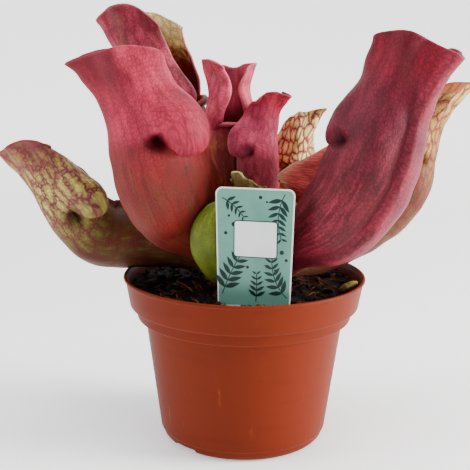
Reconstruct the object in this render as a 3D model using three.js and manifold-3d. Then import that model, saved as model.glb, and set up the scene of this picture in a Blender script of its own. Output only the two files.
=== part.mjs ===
// A potted pitcher plant: ten leaves rolled into cups round one crown, in a nursery pot of soil with a plant label.
// Millimetres, +Z up, the origin at the middle of the pot's underside, -Y towards the viewer.
import * as THREE from "three";
import { mergeVertices } from "three/addons/utils/BufferGeometryUtils.js";
import Module from "manifold-3d";

const wasm = await Module();
wasm.setup();
const { Vector3 } = THREE;
const degrees = THREE.MathUtils.degToRad;

// Driving dimensions of the pot, its soil and the label.
const GAP = 0.3; // clearance between two separate solids
const WELD = 1e-3; // points closer than this are one point
const SIDES = 40; // round the pot and the soil, the same so that their flats lie side by side
const FLOOR = 1.8; // thickness of the pot's floor
const NOTCH = { angles: [-137, 43], width: 17, height: 3, depth: 8, radius: 41 };
const SOIL = { top: 77, rings: 9, edgeIn: 0.9, edgeDrop: 0.6, floor: 6, above: 8 }; // above: how far the cutters rise
const HOLE = { sides: 14, clear: 0.6 }; // the stalks' holes
const LABEL = {
  thick: 0.8, corner: 3, yaw: 10.3, x: 4.4, y: -44,
  top: 133.2, topWidth: 36, shoulder: 74, shoulderWidth: 33, tip: 58, tipWidth: 7,
};

// The pot's outline, radius and height: up the outside from the underside, over the rim and down the inside.
const POT_OUTLINE = [
  [0, 0], [36.6, 0], [38.6, 0.8], [40.2, 2.6], [40.9, 5], [41.6, 5.7],
  [49, 60.4], [49.6, 61.6], [52.4, 61.8], [53.1, 62.6], [53.5, 66.8], [54.3, 68], [56.1, 68], [56.8, 68.8],
  [59, 81.2], [59.7, 81.5], [60, 82.2], [59.6, 83], [58.6, 83], [58.2, 82.4],
  [57.2, 81], [54.9, 69.8], [52.4, 69], [51.9, 67.6], [51.5, 63.6], [48, 62.8], [47.5, 60.8],
  [40, 6.2], [38.8, 3.2], [36.6, FLOOR], [0, FLOOR],
];
const WALL_FROM = 21; // the first inner outline point that the soil lies against

// Shared values of a pitcher leaf. Lengths are millimetres; tables run from the hood's keel to its side edge.
const LEAF = {
  corner: 105, // degrees from the keel where the hood's side edge meets the mouth
  wrap: [150, 115], // degrees that the hood reaches round, above the mouth and at its top
  cheekOut: 7, cheekDrop: 12, cheekWidth: 0.35, cheekAt: 0.95, // the lobe that hangs at each mouth corner
  flare: [6, 3, 2, 2, 2], flarePower: 2.6, top: [4, 3, 2, 0, -2], topPower: 2.2,
  wing: 4, wingFrom: 0.12, wingTo: 0.97, wingHalf: 7, // the wing down the front; wingHalf is in degrees
  ruffle: 1, ruffleWaves: 5,
  lip: 1.5, thick: 1.2, hollowOver: 5.2, // the stalk is solid where it is slimmer than this
  hoodCols: 12, lipCols: 8, tubeRows: 8, hoodAt: [0.05, 0.1, 0.17, 0.27, 0.42, 0.68, 1],
};
const MOUTH = 5; // the row of a leaf's spine where its hood starts
// Heights up a hood, from 0 at the mouth to 1 at the top, as [start, length] of each change.
const WRAP_IN = [0, 0.3];
const WRAP_OUT = [0.3, 0.6];
const LOBE_SWELL = 0.05;
const LOBE_FADE = [0.25, 0.5];
const HANG_IN = [0.12, 0.3];
const HANG_OUT = [0.34, 0.4];
const HANG_SIDE = [0.6, 0.4]; // across the hood instead, from the keel at 0 to the side edge at 1
const SWELL = 0.8; // power of the sine by which the wing and the lip swell from nothing
const BEAD = [[0.9, -0.55], [1.25, 0.15], [0.7, 0.85], [0, 1]]; // the lip's section: outwards and upwards
const BEAD_FOOT = 0.9; // how far below the mouth the bead starts, in lip sizes
const BUD = { rows: 12, sides: 12 };
const SMALL = { hoodCols: 8, lipCols: 6, tubeRows: 7, hoodAt: [0.05, 0.11, 0.2, 0.36, 0.63, 1], lip: 1.1, thick: 1 };

// Each leaf's spine: x, y, z, half width, half depth. The first two rows stand in the soil, row 5 is the mouth.
const LEAVES = {
  pitcher_front_left: {
    color: 0xc8485c, back: [-0.85, -0.3, -0.45], wrap: [150, 108], cheekOut: 8, cheekDrop: 16, wing: 5,
    flare: [13, 7, 5, 5, 4], top: [9, 5, 5, 2, -2],
    spine: [
      [-9, -9, 62, 3.5, 3.5], [-9, -9, 80, 3.5, 3.5], [-18.3, -11, 99.1, 9, 9.5],
      [-30.7, -13.5, 114.8, 15.5, 19], [-37.4, -25, 132.5, 20, 22], [-41, -29, 152.9, 18, 21],
      [-46.7, -30, 170.6, 16, 17], [-54, -31, 191.8, 16, 16],
    ],
  },
  pitcher_far_left: {
    color: 0x8b7d44, back: [-0.75, -0.25, -0.6], wrap: [150, 108], cheekOut: 7, cheekDrop: 14, wing: 5,
    flare: [7, 5, 5, 5, 3], top: [9, 7, 5, 3, 0],
    spine: [
      [-15, 0, 62, 3.5, 3.5], [-15, 0, 80, 3.5, 3.5], [-22.4, 5, 90.3, 6.5, 7], [-47.9, 10, 97.1, 13, 13],
      [-71.9, 8, 99.9, 15, 15], [-85.1, 2, 115.1, 12, 14], [-93.3, 0, 130.3, 10.5, 11.5],
      [-101.6, 0, 145.5, 10.5, 11],
    ],
  },
  pitcher_front_right: {
    color: 0x8e3446, back: [0.55, -0.75, -0.4], wrap: [150, 118], cheekOut: 8, cheekDrop: 14, wing: 10,
    flare: [10, 5, 3, 3, 3], top: [9, 4, 6, 5, 2], wingFrom: 0.4,
    spine: [
      [10, -9, 62, 3.5, 3.5], [10, -9, 80, 3.5, 3.5], [24.4, -18, 101.7, 11, 12], [41.2, -28, 115.1, 19, 19],
      [52.3, -32, 131, 21, 21], [59.2, -33, 149.5, 20, 21], [65.6, -32, 170.6, 16, 17],
      [73.1, -32, 193.2, 16, 16],
    ],
  },
  pitcher_back_right: {
    ...SMALL,
    color: 0xc9a45a, back: [1, 0.1, -0.1], cheekOut: 4, cheekDrop: 8, flare: [9, 4, 4, 3, 3], flarePower: 3,
    top: [4, 3, 2, 2, -2],
    spine: [
      [15, 5, 62, 3.2, 3.2], [15, 5, 80, 3.2, 3.2], [37.7, 18, 88, 8, 9], [64.2, 22, 106.5, 13, 14],
      [78.9, 22, 123.3, 14, 14], [84.2, 22, 140.3, 12, 12], [87.9, 22, 158.1, 11, 11],
      [93.2, 22, 173.1, 11, 11],
    ],
  },
  pitcher_back_left: {
    color: 0xc46a70, back: [-0.95, 0.2, -0.2], wrap: [150, 118], cheekOut: 4, cheekDrop: 8,
    flare: [6, 5, 4, 3, 2], top: [3, 9, 5, 2, -3],
    spine: [
      [-10, 10, 62, 3.2, 3.2], [-10, 10, 80, 3.2, 3.2], [-22.6, 31, 95.6, 6.2, 6.2],
      [-30.2, 36, 118.6, 10.5, 10.5], [-33.8, 34, 142.6, 13, 14], [-38.1, 30, 162, 15, 16],
      [-44.9, 28, 185.2, 14, 17], [-51.6, 26, 205.9, 14, 18],
    ],
  },
  pitcher_back_centre: {
    ...SMALL,
    color: 0xd06678, back: [0, 1, 0], wrap: [158, 150], cheekOut: 4, cheekDrop: 5, wing: 2,
    flare: [2, 2, 4, 4, 1], flarePower: 2.5, top: [1, 1, 6, 4, -4],
    spine: [
      [-1, 12, 62, 3, 3], [-1, 12, 80, 3, 3], [-5.6, 15, 99.2, 6, 6], [-8.3, 15, 122.4, 10, 10.5],
      [-10, 16, 138.5, 11, 11.5], [-10.1, 17, 155.5, 10.5, 11], [-9.3, 18, 169.3, 9, 10],
      [-9.4, 21, 181, 9, 10],
    ],
  },
  pitcher_centre: {
    ...SMALL,
    color: 0xa8404c, back: [0.85, -0.5, -0.1], cheekOut: 4, cheekDrop: 8, wing: 3, flare: [5, 2, 1, 1, 1],
    flarePower: 3, top: [4, 4, 3, 1, -3],
    spine: [
      [3, 1, 62, 3, 3], [3, 1, 80, 3, 3], [2.2, 0, 92.3, 5, 5], [4.4, -2, 110.5, 8, 8],
      [6.1, -3, 128, 9.5, 10], [5.8, -2, 144, 9, 9.5], [6.6, 0, 159.3, 8, 8], [8.3, 0, 170.8, 8, 8],
    ],
  },
  pitcher_right_centre: {
    ...SMALL,
    color: 0xcfae6e, back: [0.7, -0.65, -0.1], cheekOut: 5, cheekDrop: 8, flare: [6, 1, 0, 0, 0],
    flarePower: 3, top: [6, 3, 2, 0, -3],
    spine: [
      [8, 13, 62, 3, 3], [8, 13, 80, 3, 3], [9.9, 18, 90.9, 6, 6], [15.8, 19, 109.1, 9, 9],
      [21.1, 18, 123.3, 10.5, 11], [24.7, 15, 137, 9, 9.5], [25.2, 12, 150.9, 8, 8],
      [27.4, 12, 162.3, 7, 7.5],
    ],
  },
  young_pitcher: {
    closed: true,
    color: 0x93b04a, back: [-0.6, -0.6, -0.1],
    spine: [
      [-6, -20, 62, 2.6, 2.6], [-6, -20, 80, 2.6, 2.6], [-12.9, -29, 90.8, 5, 5],
      [-17.4, -33, 102.2, 7.5, 7], [-17, -34, 112.3, 7.5, 7], [-14.3, -34, 119.8, 5, 5],
      [-11.1, -33, 123.4, 2.5, 2.5], [-9.3, -33, 125.3, 0.5, 0.5],
    ],
  },
  small_pitcher_front: {
    ...SMALL,
    color: 0xa89a3e, back: [-0.6, -0.6, 0], cheekOut: 2, cheekDrop: 3, wing: 2, flare: [2, 1, 1, 1],
    top: [5, 3, 0, -2], lip: 1,
    spine: [
      [2, -13, 62, 2.8, 2.8], [2, -13, 80, 2.8, 2.8], [-1.7, -20, 95.5, 5, 5], [0, -26, 109.4, 8, 8],
      [0.9, -28, 117.9, 8, 8], [1.7, -28, 125, 7, 7], [2.1, -28, 129.7, 7, 7], [2, -28, 133.4, 7, 7],
    ],
  },
};

function clamp(x) {
  return Math.min(1, Math.max(0, x));
}

// Rises smoothly from 0 to 1 over a range given as its start and length.
function ease(x, [start, length]) {
  const c = clamp((x - start) / length);
  return c * c * (3 - 2 * c);
}

// A value of a Catmull-Rom curve through rows of numbers, at t in rows.
function spline(rows, t) {
  const last = rows.length - 1;
  const i = Math.min(last - 1, Math.max(0, Math.floor(t)));
  const f = t - i;
  const row = (k) => {
    if (k < 0) return rows[0].map((v, n) => 2 * v - rows[1][n]);
    if (k > last) return rows[last].map((v, n) => 2 * v - rows[last - 1][n]);
    return rows[k];
  };
  const [p, q, r, s] = [row(i - 1), row(i), row(i + 1), row(i + 2)];
  return q.map((v, n) => 0.5 * (2 * v + (r[n] - p[n]) * f + (2 * p[n] - 5 * v + 4 * r[n] - s[n]) * f * f
    + (3 * v - p[n] - 3 * r[n] + s[n]) * f ** 3));
}

function table(values, x) {
  return spline(values.map((v) => [v]), x * (values.length - 1))[0];
}

function geometryOf(points, triangles) {
  const g = new THREE.BufferGeometry();
  g.setAttribute("position", new THREE.Float32BufferAttribute(points.flatMap((p) => [p.x, p.y, p.z]), 3));
  g.setIndex(triangles.flat());
  return g;
}

// A geometry as a manifold-3d solid, with the triangles left out that have no area once equal points are merged.
function toManifold(geometry) {
  const bare = new THREE.BufferGeometry();
  bare.setAttribute("position", geometry.getAttribute("position"));
  bare.setIndex(geometry.getIndex());
  const merged = mergeVertices(bare, WELD);
  const ids = Array.from(merged.index.array);
  const triVerts = new Uint32Array(ids.flatMap((_, n) => {
    const [a, b, c] = ids.slice(n, n + 3);
    return n % 3 === 0 && a !== b && b !== c && a !== c ? [a, b, c] : [];
  }));
  return new wasm.Manifold(new wasm.Mesh({ numProp: 3, vertProperties: merged.attributes.position.array, triVerts }));
}

function fromManifold(solid) {
  const made = solid.getMesh();
  const g = new THREE.BufferGeometry();
  g.setAttribute("position", new THREE.BufferAttribute(new Float32Array(made.vertProperties), 3));
  g.setIndex(Array.from(made.triVerts));
  return g;
}

// A closed solid from rings of points that all have the same count, capped by a fan at each end.
function skin(rings) {
  const n = rings[0].length;
  const points = rings.flat();
  const triangles = [];
  for (let j = 0; j + 1 < rings.length; j += 1) {
    for (let i = 0; i < n; i += 1) {
      const [a, b] = [j * n + i, j * n + ((i + 1) % n)];
      triangles.push([a, b, b + n], [a, b + n, a + n]);
    }
  }
  for (const [first, up] of [[0, false], [(rings.length - 1) * n, true]]) {
    const centre = points.slice(first, first + n).reduce((sum, p) => sum.add(p), new Vector3()).divideScalar(n);
    points.push(centre);
    for (let i = 0; i < n; i += 1) {
      const [a, b] = [first + i, first + ((i + 1) % n)];
      triangles.push(up ? [points.length - 1, a, b] : [points.length - 1, b, a]);
    }
  }
  return geometryOf(points, triangles);
}

// The frame of a leaf's spine at t: N points to the keel, B to the side, T up the leaf.
function frameAt(leaf, t) {
  const step = 1e-3;
  const last = leaf.spine.length - 1;
  const at = (x) => spline(leaf.spine, Math.min(last, Math.max(0, x)));
  const [x, y, z, a, b] = at(t);
  const T = new Vector3(...at(t + step).slice(0, 3)).sub(new Vector3(...at(t - step).slice(0, 3))).normalize();
  if (t <= 1) T.set(0, 0, 1); // the stalk stands plumb in its hole
  const back = new Vector3(...leaf.back);
  const N = back.clone().addScaledVector(T, -back.dot(T)).normalize();
  return { centre: new Vector3(x, y, z), T, N, B: T.clone().cross(N), a, b };
}

function around(frame, angle) {
  return frame.N.clone().multiplyScalar(Math.cos(angle)).addScaledVector(frame.B, Math.sin(angle));
}

function onTube(frame, angle) {
  return frame.centre.clone().addScaledVector(frame.N, frame.b * Math.cos(angle))
    .addScaledVector(frame.B, frame.a * Math.sin(angle));
}

// A point of the hood: w runs from -1 to 1 between its side edges, h from 0 at the mouth to 1 at its top.
function onHood(leaf, frame, w, h) {
  const aw = Math.abs(w);
  const [corner, low, high] = [leaf.corner, ...leaf.wrap].map(degrees);
  const angle = w * (corner + (low - corner) * ease(h, WRAP_IN) + (high - low) * ease(h, WRAP_OUT));
  const lobe = Math.exp(-(((aw - leaf.cheekAt) / leaf.cheekWidth) ** 2));
  const hang = ease(h, HANG_IN) * (1 - ease(h, HANG_OUT)) * ease(aw, HANG_SIDE);
  const out = table(leaf.flare, aw) * h ** leaf.flarePower
    + leaf.cheekOut * lobe * (1 - Math.exp(-h / LOBE_SWELL)) * (1 - ease(h, LOBE_FADE))
    + leaf.ruffle * Math.sin(leaf.ruffleWaves * Math.PI * w) * h ** 3;
  const up = table(leaf.top, aw) * h ** leaf.topPower - leaf.cheekDrop * hang;
  return onTube(frame, angle).addScaledVector(around(frame, angle), out).addScaledVector(frame.T, up);
}

// The angles of a leaf's columns: the hood's from corner to corner, then the lip's, with three close at the wing.
function columnAngles(leaf) {
  const corner = degrees(leaf.corner);
  const half = degrees(leaf.wingHalf);
  const angles = [];
  for (let i = 0; i <= leaf.hoodCols; i += 1) angles.push(corner * (2 * i / leaf.hoodCols - 1));
  for (let i = 1; i < leaf.lipCols; i += 1) {
    const angle = corner + (2 * Math.PI - 2 * corner) * i / leaf.lipCols;
    if (i === leaf.lipCols / 2) angles.push(Math.PI - half, Math.PI, Math.PI + half);
    else angles.push(angle);
  }
  return angles;
}

// A pitcher leaf as one closed solid. Its wall is a cup of rings, outside and inside; the hood goes on from the
// rings' first columns, and the lip's bead closes the wall over the rest.
function pitcher(spec) {
  const leaf = { ...LEAF, ...spec };
  const angles = columnAngles(leaf);
  const cols = angles.length;
  const end = leaf.hoodCols;
  const rowsAt = [0, 1];
  for (let j = 1; j <= leaf.tubeRows; j += 1) rowsAt.push(1 + (MOUTH - 1) * j / leaf.tubeRows);
  const frames = rowsAt.map((t) => frameAt(leaf, t));
  const rim = rowsAt.length - 1;
  const last = leaf.spine.length - 1;

  // The middle sheet's points, and the squares between them.
  const sheet = frames.flatMap((frame) => angles.map((angle) => onTube(frame, angle)));
  for (const h of leaf.hoodAt) {
    const frame = frameAt(leaf, MOUTH + (last - MOUTH) * h);
    for (let i = 0; i <= end; i += 1) sheet.push(onHood(leaf, frame, 2 * i / end - 1, h));
  }
  const tube = (j, i) => j * cols + (i % cols);
  const hood = (k, i) => (k === 0 ? tube(rim, i) : (rim + 1) * cols + (k - 1) * (end + 1) + i);
  const squares = [];
  for (let j = 0; j < rim; j += 1) {
    for (let i = 0; i < cols; i += 1) {
      squares.push([tube(j, i), tube(j, i + 1), tube(j + 1, i + 1), tube(j + 1, i), j]);
    }
  }
  for (let k = 0; k < leaf.hoodAt.length; k += 1) {
    for (let i = 0; i < end; i += 1) {
      squares.push([hood(k, i), hood(k, i + 1), hood(k + 1, i + 1), hood(k + 1, i), rim]);
    }
  }
  const normals = sheet.map(() => new Vector3());
  for (const [a, b, c, d] of squares) {
    const n = sheet[c].clone().sub(sheet[a]).cross(sheet[d].clone().sub(sheet[b])).normalize();
    for (const v of [a, b, c, d]) normals[v].add(n);
  }
  normals.forEach((n) => n.normalize());

  // The wall's two faces, and the wing on the outer one.
  const faceOf = (side) => sheet.map((p, v) => p.clone().addScaledVector(normals[v], side * leaf.thick / 2));
  const [points, inner] = [faceOf(1), faceOf(-1)];
  const wingCol = angles.indexOf(Math.PI);
  rowsAt.forEach((t, j) => {
    const x = ((t - 1) / (MOUTH - 1) - leaf.wingFrom) / (leaf.wingTo - leaf.wingFrom);
    const rise = x > 0 && x < 1 ? leaf.wing * Math.sin(Math.PI * x ** SWELL) : 0;
    points[tube(j, wingCol)].addScaledVector(frames[j].N, -rise);
  });
  const into = points.length;
  points.push(...inner);
  const triangles = [];
  const face = (...loop) => {
    const ids = loop.filter((v, n) => v !== loop[(n + 1) % loop.length]);
    for (let n = 1; n + 1 < ids.length; n += 1) triangles.push([ids[0], ids[n], ids[n + 1]]);
  };
  const hollow = frames.findIndex((frame) => Math.min(frame.a, frame.b) > leaf.hollowOver);
  for (const [a, b, c, d, j] of squares) {
    const turn = sheet[a].distanceTo(sheet[c]) > sheet[b].distanceTo(sheet[d]);
    const [p, q, r, s] = turn ? [b, c, d, a] : [a, b, c, d];
    face(p, q, r, s);
    if (j >= hollow) face(p + into, s + into, r + into, q + into);
  }
  for (const [j, side, up] of [[0, 0, false], [hollow, into, true]]) {
    const ring = angles.map((_, i) => tube(j, i) + side);
    const centre = points.push(ring.reduce((sum, v) => sum.add(points[v]), new Vector3()).divideScalar(cols)) - 1;
    ring.forEach((v, i) => face(centre, ...(up ? [v, ring[(i + 1) % cols]] : [ring[(i + 1) % cols], v])));
  }

  // The lip's bead swells from nothing at the mouth's corners, over the edge between the two faces.
  const top = frames[rim];
  const lipCols = Array.from({ length: cols - end + 1 }, (_, n) => end + n);
  const strips = lipCols.map((i, n) => {
    const o = tube(rim, i);
    const size = leaf.lip * Math.sin(Math.PI * n / (lipCols.length - 1)) ** SWELL;
    if (n === 0 || n === lipCols.length - 1) return [o, ...BEAD.map(() => o), o + into];
    const from = points[o].clone();
    points[o].addScaledVector(top.T, -BEAD_FOOT * size);
    const over = BEAD.map(([e, u]) => points.push(from.clone().lerp(sheet[o], e ? 0 : 1)
      .addScaledVector(around(top, angles[i]), e * size).addScaledVector(top.T, u * size)) - 1);
    return [o, ...over, o + into];
  });
  for (let n = 0; n + 1 < strips.length; n += 1) {
    const [p, q] = [strips[n], strips[n + 1]];
    for (let k = 0; k + 1 < p.length; k += 1) face(p[k], q[k], q[k + 1], p[k + 1]);
  }
  for (let k = 0; k < leaf.hoodAt.length; k += 1) {
    face(hood(k + 1, end), hood(k, end), hood(k, end) + into, hood(k + 1, end) + into);
    face(hood(k, 0), hood(k + 1, 0), hood(k + 1, 0) + into, hood(k, 0) + into);
  }
  const topRow = leaf.hoodAt.length;
  for (let i = 0; i < end; i += 1) {
    const [p, q] = [hood(topRow, i), hood(topRow, i + 1)];
    face(p, q, q + into, p + into);
  }

  // The sheet's inner points down the solid stalk belong to no triangle and are dropped.
  const used = [...new Set(triangles.flat())];
  const place = new Map(used.map((v, n) => [v, n]));
  return geometryOf(used.map((v) => points[v]), triangles.map((t) => t.map((v) => place.get(v))));
}

// A leaf that hasn't opened yet: the same spine and sections, closed to a point.
function bud(spec) {
  const leaf = { ...LEAF, ...spec };
  const last = leaf.spine.length - 1;
  const rings = [];
  for (let j = 0; j <= BUD.rows; j += 1) {
    const frame = frameAt(leaf, last * j / BUD.rows);
    rings.push(Array.from({ length: BUD.sides }, (_, i) => onTube(frame, 2 * Math.PI * i / BUD.sides)));
  }
  return skin(rings);
}

function box(x0, x1, y0, y1, z0, z1) {
  const g = new THREE.BoxGeometry(x1 - x0, y1 - y0, z1 - z0);
  g.translate((x0 + x1) / 2, (y0 + y1) / 2, (z0 + z1) / 2);
  return g;
}

function pot() {
  const outline = POT_OUTLINE.map(([r, z]) => new THREE.Vector2(r, z));
  const turned = new THREE.LatheGeometry(outline, SIDES);
  turned.rotateX(Math.PI / 2);
  let solid = toManifold(turned);
  for (const angle of NOTCH.angles) {
    const cut = box(NOTCH.radius - NOTCH.depth, NOTCH.radius + NOTCH.depth, -NOTCH.width / 2, NOTCH.width / 2,
      -1, NOTCH.height);
    cut.rotateZ(degrees(angle));
    solid = solid.subtract(toManifold(cut));
  }
  return fromManifold(solid);
}

// The label's outline in its own plane: rounded at the top, a little narrower lower down, and a stake in the soil.
function labelOutline(grow) {
  const [w, f, t] = [LABEL.topWidth, LABEL.shoulderWidth, LABEL.tipWidth].map((width) => width / 2 + grow);
  const r = LABEL.corner;
  const points = [[0, LABEL.tip - grow], [t, LABEL.tip - grow], [f, LABEL.shoulder]];
  for (let i = 0; i <= 4; i += 1) {
    const a = Math.PI / 2 * i / 4;
    points.push([w - r + r * Math.cos(a), LABEL.top + grow - r + r * Math.sin(a)]);
  }
  return [...points, ...points.slice(1).reverse().map(([x, z]) => [-x, z])];
}

function label(grow) {
  const rings = [-1, 1].map((side) => labelOutline(grow)
    .map(([x, z]) => new Vector3(x, -side * (LABEL.thick / 2 + grow), z)));
  const g = skin(rings);
  g.rotateZ(degrees(-LABEL.yaw));
  g.translate(LABEL.x, LABEL.y, 0);
  return g;
}

// Lumps of soil: a few waves of fixed size and direction, so the surface is the same on every run.
function lump(x, y) {
  const waves = [[0.31, 0.12, 1.1, 0.7], [-0.17, 0.36, 2.3, 0.6], [0.55, -0.48, 0.4, 0.45], [0.83, 0.71, 1.7, 0.3]];
  return waves.reduce((s, [kx, ky, phase, size]) => s + size * Math.sin(kx * x + ky * y + phase), 0);
}

function soil(stalks) {
  const wall = POT_OUTLINE.slice(WALL_FROM, -1).map(([r, z]) => [r - GAP, z + (z < SOIL.floor ? GAP : 0)]);
  const [topR, topZ] = [wall[0][0] - SOIL.edgeIn, SOIL.top - SOIL.edgeDrop];
  const outline = [[topR, topZ], ...wall].reverse();
  const ring = (r, z, rough) => Array.from({ length: SIDES }, (_, i) => {
    const a = 2 * Math.PI * i / SIDES;
    const [x, y] = [r * Math.cos(a), r * Math.sin(a)];
    return new Vector3(x, y, z + rough * lump(x, y));
  });
  const rings = outline.map(([r, z]) => ring(r, z, 0));
  for (let k = SOIL.rings - 1; k > 0; k -= 1) {
    rings.push(ring(topR * k / SOIL.rings, SOIL.top, Math.min(1, (SOIL.rings - k) / 2)));
  }
  let solid = toManifold(skin(rings));
  for (const [x, y, z, r] of stalks) {
    const wide = (r + HOLE.clear + GAP) / Math.cos(Math.PI / HOLE.sides);
    const hole = skin([z - GAP, SOIL.top + SOIL.above].map((level) => Array.from({ length: HOLE.sides }, (_, i) => {
      const a = 2 * Math.PI * i / HOLE.sides;
      return new Vector3(x + wide * Math.cos(a), y + wide * Math.sin(a), level);
    })));
    solid = solid.subtract(toManifold(hole));
  }
  solid = solid.subtract(toManifold(label(GAP)));
  return fromManifold(solid);
}

const plant = new THREE.Group();

function add(name, geometry, color, roughness) {
  const mesh = new THREE.Mesh(geometry, new THREE.MeshStandardMaterial({ color, roughness, metalness: 0 }));
  mesh.name = name;
  plant.add(mesh);
}

add("pot", pot(), 0xb5502f, 0.45);
add("soil", soil(Object.values(LEAVES).map((leaf) => leaf.spine[0])), 0x2a211c, 0.95);
add("plant_label", label(0), 0x8cb2a5, 0.4);
for (const [name, leaf] of Object.entries(LEAVES)) {
  add(name, (leaf.closed ? bud : pitcher)(leaf), leaf.color, 0.5);
}

export default plant;
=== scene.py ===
# %% [markdown]
# A potted pitcher plant, dressed over its CAD parts. The CAD model gives every size and place; this lesson builds
# the finer leaves, soil, pot and label over it, one at a time, and then sets up the studio and the camera.
# Lengths in the tables are millimetres, as on a maker's drawing, and MM turns them into the scene's metres.

# %% Frame
import random
from cmath import rect
from math import cos, hypot, pi, radians, sin, sqrt

import bmesh
import bpy
import numpy as np
from mathutils import Matrix, Vector, noise


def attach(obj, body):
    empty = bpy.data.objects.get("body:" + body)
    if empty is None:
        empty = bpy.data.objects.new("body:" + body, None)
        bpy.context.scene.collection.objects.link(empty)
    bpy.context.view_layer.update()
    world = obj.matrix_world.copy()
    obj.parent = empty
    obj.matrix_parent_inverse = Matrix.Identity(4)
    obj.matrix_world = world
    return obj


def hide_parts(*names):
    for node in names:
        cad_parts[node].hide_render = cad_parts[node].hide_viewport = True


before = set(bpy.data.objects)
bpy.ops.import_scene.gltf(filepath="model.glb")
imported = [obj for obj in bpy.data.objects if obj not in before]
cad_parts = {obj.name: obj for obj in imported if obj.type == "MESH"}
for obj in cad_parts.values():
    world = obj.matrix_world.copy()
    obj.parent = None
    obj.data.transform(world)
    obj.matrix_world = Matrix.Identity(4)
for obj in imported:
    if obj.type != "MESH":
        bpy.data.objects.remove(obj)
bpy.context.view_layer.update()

MM = 0.001
print("CAD nodes:", ", ".join(sorted(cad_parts)))

# %% [markdown]
# Finishes. Real skins vary everywhere, and noise can do that without a picture. A Field wraps a shader socket, so
# that a pattern is plain arithmetic: each operator adds its Math or Vector Math node. A Finish owns one material,
# sets its shader's constants, and adds any other node by its type, settings and sockets.

# %% Sockets that do sums
def operator(operation, swapped=False):
    """The method of one operator; swapped is its reflected form, as in 1 - mask."""
    def method(self, other):
        return self.finish.maths(operation, *((other, self) if swapped else (self, other)))
    return method


class Field:
    """A number, colour or vector that varies over a surface."""

    def __init__(self, finish, socket):
        self.finish, self.socket, self.wide = finish, socket, socket.type != "VALUE"

    __add__, __radd__ = operator("ADD"), operator("ADD", True)
    __sub__, __rsub__ = operator("SUBTRACT"), operator("SUBTRACT", True)
    __mul__, __rmul__ = operator("MULTIPLY"), operator("MULTIPLY", True)

    def __abs__(self):
        return self.finish.maths("ABSOLUTE", self)


# %% Materials
DEEPEN = 1.35  # each colour is raised to this power, because the soft light makes it paler


def tint(code):
    """A linear colour from six hex digits."""
    parts = [int(code[n:n + 2], 16) / 255 for n in (0, 2, 4)]
    linear = [c / 12.92 if c <= 0.04045 else ((c + 0.055) / 1.055) ** 2.4 for c in parts]
    return tuple(c ** DEEPEN for c in linear) + (1,)


class Finish:
    """One material: a Principled shader, its constants, and the nodes that vary it."""

    def __init__(self, name, **constants):
        self.material = bpy.data.materials.new(name)
        self.material.use_nodes = True
        self.tree = self.material.node_tree
        self.shader = next(n for n in self.tree.nodes if n.type == "BSDF_PRINCIPLED")
        self.wear(**constants)

    def plug(self, socket, value):
        """Links a Field, or sets a plain value: a number, a vector or a colour's hex digits."""
        value = tint(value) if isinstance(value, str) else value
        if isinstance(value, Field):
            self.tree.links.new(value.socket, socket)
        elif socket.type in ("VECTOR", "RGBA") and not isinstance(value, tuple):
            socket.default_value = (value,) * len(socket.default_value)
        else:
            socket.default_value = value

    def node(self, kind, settings=None, output=None, **inputs):
        """Any node: its type, its settings, the output to use, and its sockets' values or links."""
        made = self.tree.nodes.new(kind)
        for key, value in (settings or {}).items():
            setattr(made, key, value)
        for key, value in inputs.items():
            self.plug(next(s for s in made.inputs if s.name == key.replace("_", " ") and s.enabled), value)
        return Field(self, next(s for s in made.outputs if s.enabled and output in (None, s.name)))

    def maths(self, operation, a, b=0):
        """A sum of numbers, or of vectors where either is one."""
        wide = any(isinstance(v, tuple) or getattr(v, "wide", False) for v in (a, b))
        made = self.tree.nodes.new("ShaderNodeVectorMath" if wide else "ShaderNodeMath")
        made.operation = operation
        for socket, value in zip(made.inputs, (a, b)):
            self.plug(socket, value)
        return Field(self, made.outputs[0])

    def step(self, value, low, high):
        """0 below low, 1 above high, smooth between."""
        return self.node("ShaderNodeMapRange", {"interpolation_type": "SMOOTHSTEP"},
                         Value=value, From_Min=low, From_Max=high)

    def mix(self, a, b, amount):
        return self.node("ShaderNodeMix", {"data_type": "RGBA", "clamp_factor": True}, Factor=amount, A=a, B=b)

    def field(self, name, output="Fac"):
        """What is stored on the mesh's points: a number, or with "Vector" a vector."""
        return self.node("ShaderNodeAttribute", {"attribute_name": name}, output)

    def place(self):
        """The place on the object, in metres."""
        return self.node("ShaderNodeTexCoord", None, "Object")

    def cloud(self, where, scale, detail=3, rough=0.5, output="Fac"):
        return self.node("ShaderNodeTexNoise", None, output, Vector=where, Scale=scale, Detail=detail,
                         Roughness=rough)

    def cells(self, where, scale):
        """The distance from the middle of the nearest cell."""
        return self.node("ShaderNodeTexVoronoi", {"feature": "F1"}, Vector=where, Scale=scale)

    def bump(self, height, distance, strength):
        return self.node("ShaderNodeBump", None, "Normal", Height=height, Distance=distance, Strength=strength)

    def wear(self, **inputs):
        """Sets or links sockets of the shader."""
        for key, value in inputs.items():
            self.plug(self.shader.inputs[key.replace("_", " ")], value)
        return self.material


# %% [markdown]
# Meshes. A real plant has hardly one straight edge, and modifiers would hide how its curves come about. Here a piece
# is a grid of points, worked out with plain sums, so a few helpers serve all of them.

# %% Meshes
def unit(v):
    return v / np.maximum(np.linalg.norm(v, axis=-1, keepdims=True), 1e-9)


def smooth(x):
    """0 to 1 as x goes from 0 to 1, level at both ends."""
    x = np.clip(x, 0, 1)
    return x * x * (3 - 2 * x)


def placed(name, data):
    made = bpy.data.objects.new(name, data)
    bpy.context.scene.collection.objects.link(made)
    return made


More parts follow.
